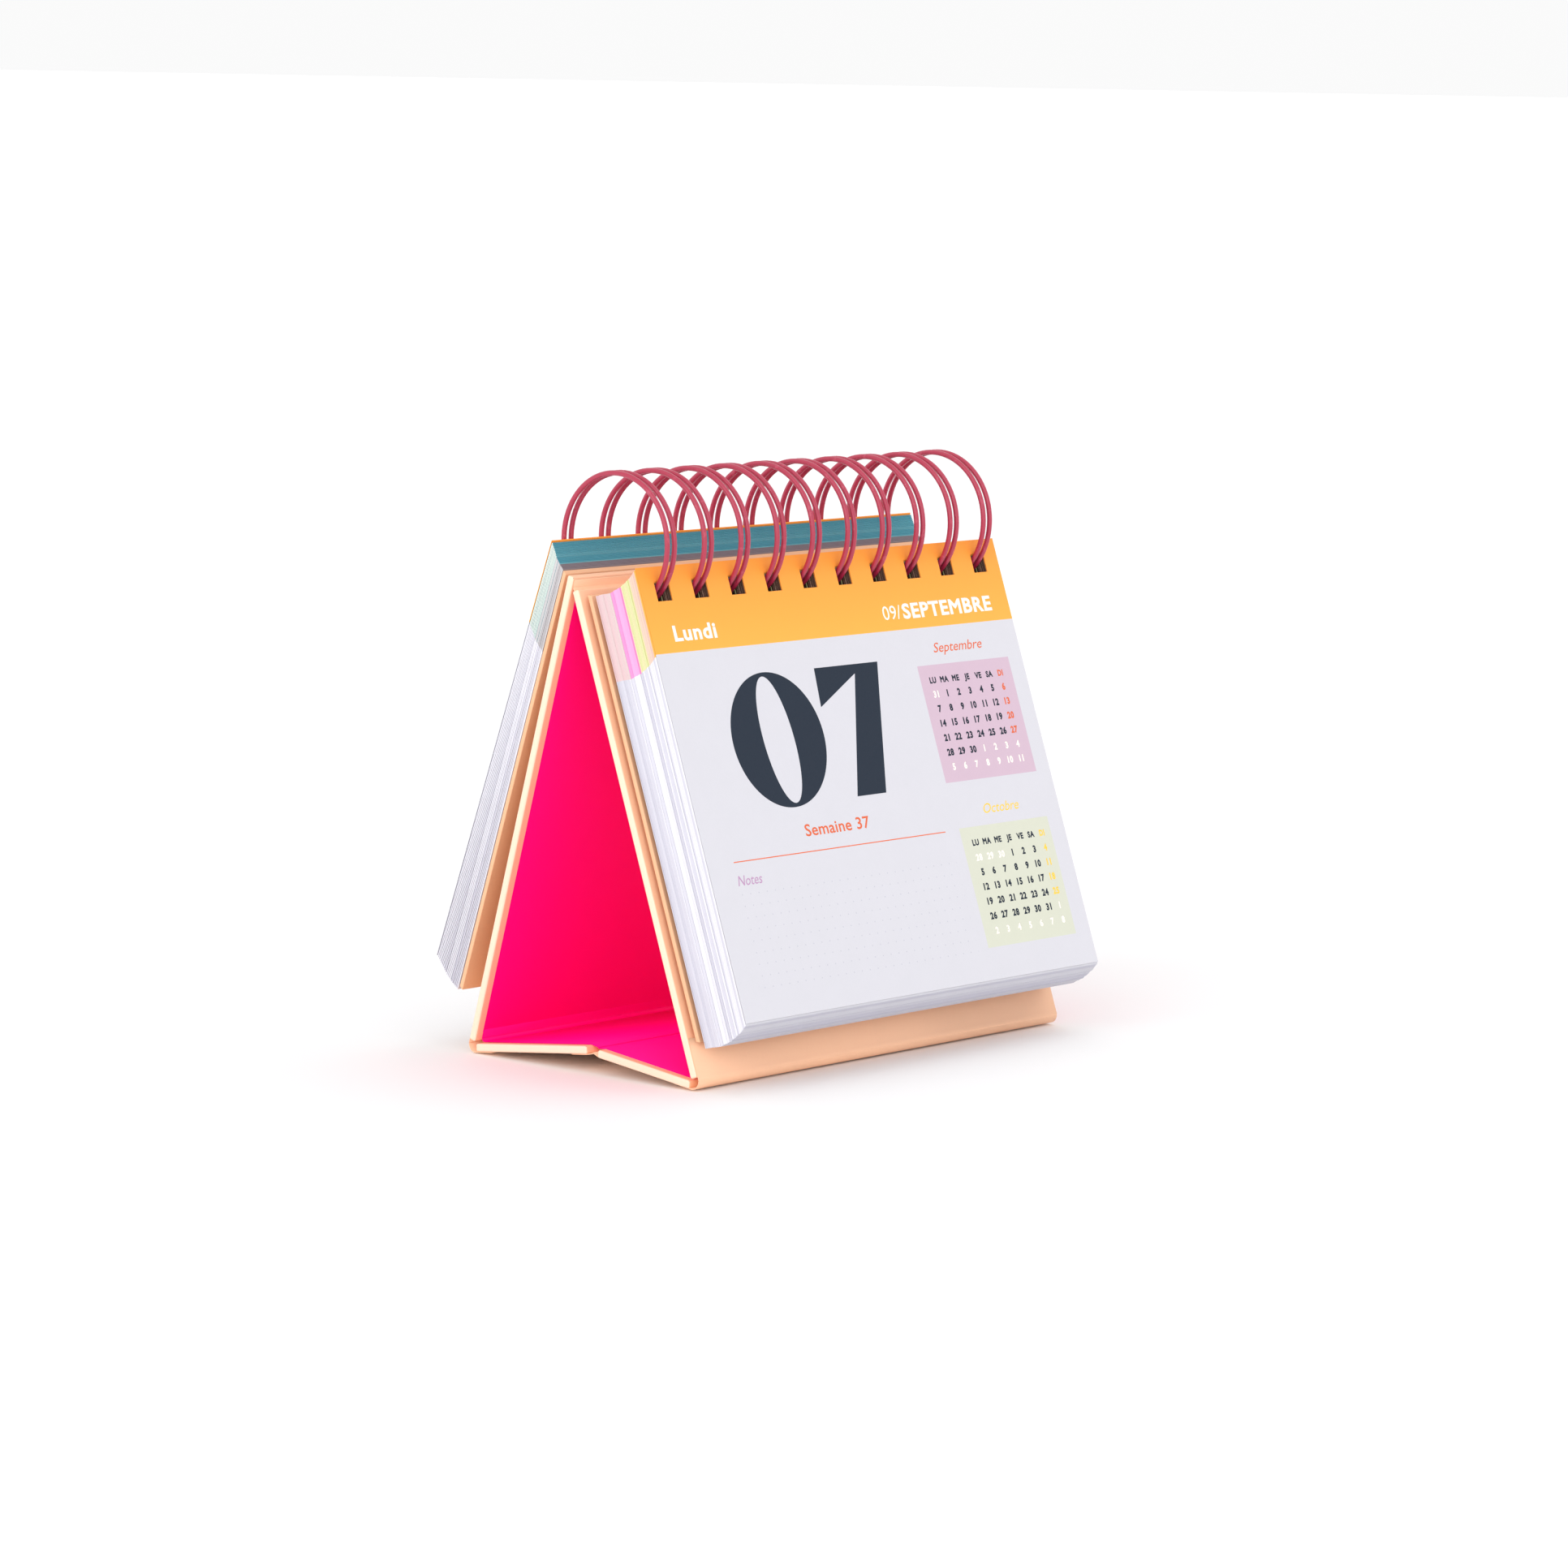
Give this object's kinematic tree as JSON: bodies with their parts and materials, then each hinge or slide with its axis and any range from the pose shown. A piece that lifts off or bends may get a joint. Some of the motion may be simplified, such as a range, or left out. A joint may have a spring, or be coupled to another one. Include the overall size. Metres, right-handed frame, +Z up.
{
  "type": "flip desk calendar",
  "caption": "Tent-shaped hard-case desk calendar with a twin-loop wire through its ridge and two stacks of sheets that flip over the top.",
  "frame": {"origin": "on the table, under the middle of the calendar's bounding box", "axes": "+X along the wire, the current day faces -Y, +Z up"},
  "size_m": [0.1322, 0.0969, 0.1384],
  "materials": {
    "greyboard": "matt raw board",
    "peach_wrap": "matt coated paper",
    "pink_lining": "matt printed paper",
    "cover_card": "matt printed card",
    "sheet_stack": "uncoated white paper",
    "current_sheet": "uncoated printed paper",
    "flipped_sheet": "uncoated printed paper",
    "red_wire": "nylon-coated gloss"
  },
  "bodies": {
    "front_panel": {"front_board": "greyboard", "front_wrap": "peach_wrap", "front_lining": "pink_lining", "front_foot_strip": "peach_wrap"},
    "back_panel": {"back_board": "greyboard", "back_wrap": "peach_wrap", "back_lining": "pink_lining", "apex_hinge_strip": "peach_wrap", "rear_foot_strip": "peach_wrap"},
    "base_front": {"base_front_board": "greyboard", "base_front_wrap": "peach_wrap", "base_front_lining": "pink_lining", "base_crease_strip": "peach_wrap"},
    "base_rear": {"base_rear_board": "greyboard", "base_rear_wrap": "peach_wrap", "base_rear_lining": "pink_lining"},
    "wire": {"twin_loop_wire": "red_wire"},
    "front_stack": {"backing_board": "cover_card", "year_end_sheets": "sheet_stack", "december_sheets": "sheet_stack", "november_sheets": "sheet_stack", "october_sheets": "sheet_stack", "september_sheets": "sheet_stack"},
    "current_day": {"current_day_sheet": "current_sheet"},
    "rear_stack": {"front_cover": "cover_card", "june_sheets": "sheet_stack", "july_sheets": "sheet_stack", "august_sheets": "sheet_stack"},
    "last_flipped": {"last_flipped_sheet": "flipped_sheet"}
  },
  "joints": [
    {"name": "easel_fold", "type": "hinge", "parent": "front_panel", "child": "back_panel", "pos_m": [0, 0.00545, 0.11073], "axis": [-1, 0, 0], "range_deg": [0, 6]},
    {"name": "base_front_fold", "type": "hinge", "parent": "front_panel", "child": "base_front", "pos_m": [0, -0.03312, 0.0024], "axis": [1, 0, 0], "range_deg": [-1, 40], "deforming": ["base_crease_strip"]},
    {"name": "base_rear_fold", "type": "hinge", "parent": "back_panel", "child": "base_rear", "pos_m": [0, 0.03428, 0.0024], "axis": [-1, 0, 0], "range_deg": [-1, 30]},
    {"name": "wire_turn", "type": "hinge", "parent": "front_panel", "child": "wire", "pos_m": [0, -0.0009, 0.1218], "axis": [1, 0, 0], "range_deg": [-0.6, 0.9]},
    {"name": "front_stack_lift", "type": "hinge", "parent": "front_panel", "child": "front_stack", "pos_m": [0, -0.0009, 0.1218], "axis": [-1, 0, 0], "range_deg": [0, 25]},
    {"name": "current_day_flip", "type": "hinge", "parent": "front_stack", "child": "current_day", "pos_m": [0, -0.0009, 0.1218], "axis": [-1, 0, 0], "range_deg": [0, 105]},
    {"name": "rear_stack_lift", "type": "hinge", "parent": "front_panel", "child": "rear_stack", "pos_m": [0, -0.0009, 0.1218], "axis": [1, 0, 0], "range_deg": [0, 20]},
    {"name": "last_flipped_turn", "type": "hinge", "parent": "rear_stack", "child": "last_flipped", "pos_m": [0, -0.0009, 0.1218], "axis": [1, 0, 0], "range_deg": [0, 45]}
  ],
  "couplings": [
    {"joint": "base_front_fold", "follows": "easel_fold", "ratio": 5.4},
    {"joint": "base_rear_fold", "follows": "easel_fold", "ratio": 3.77}
  ]
}
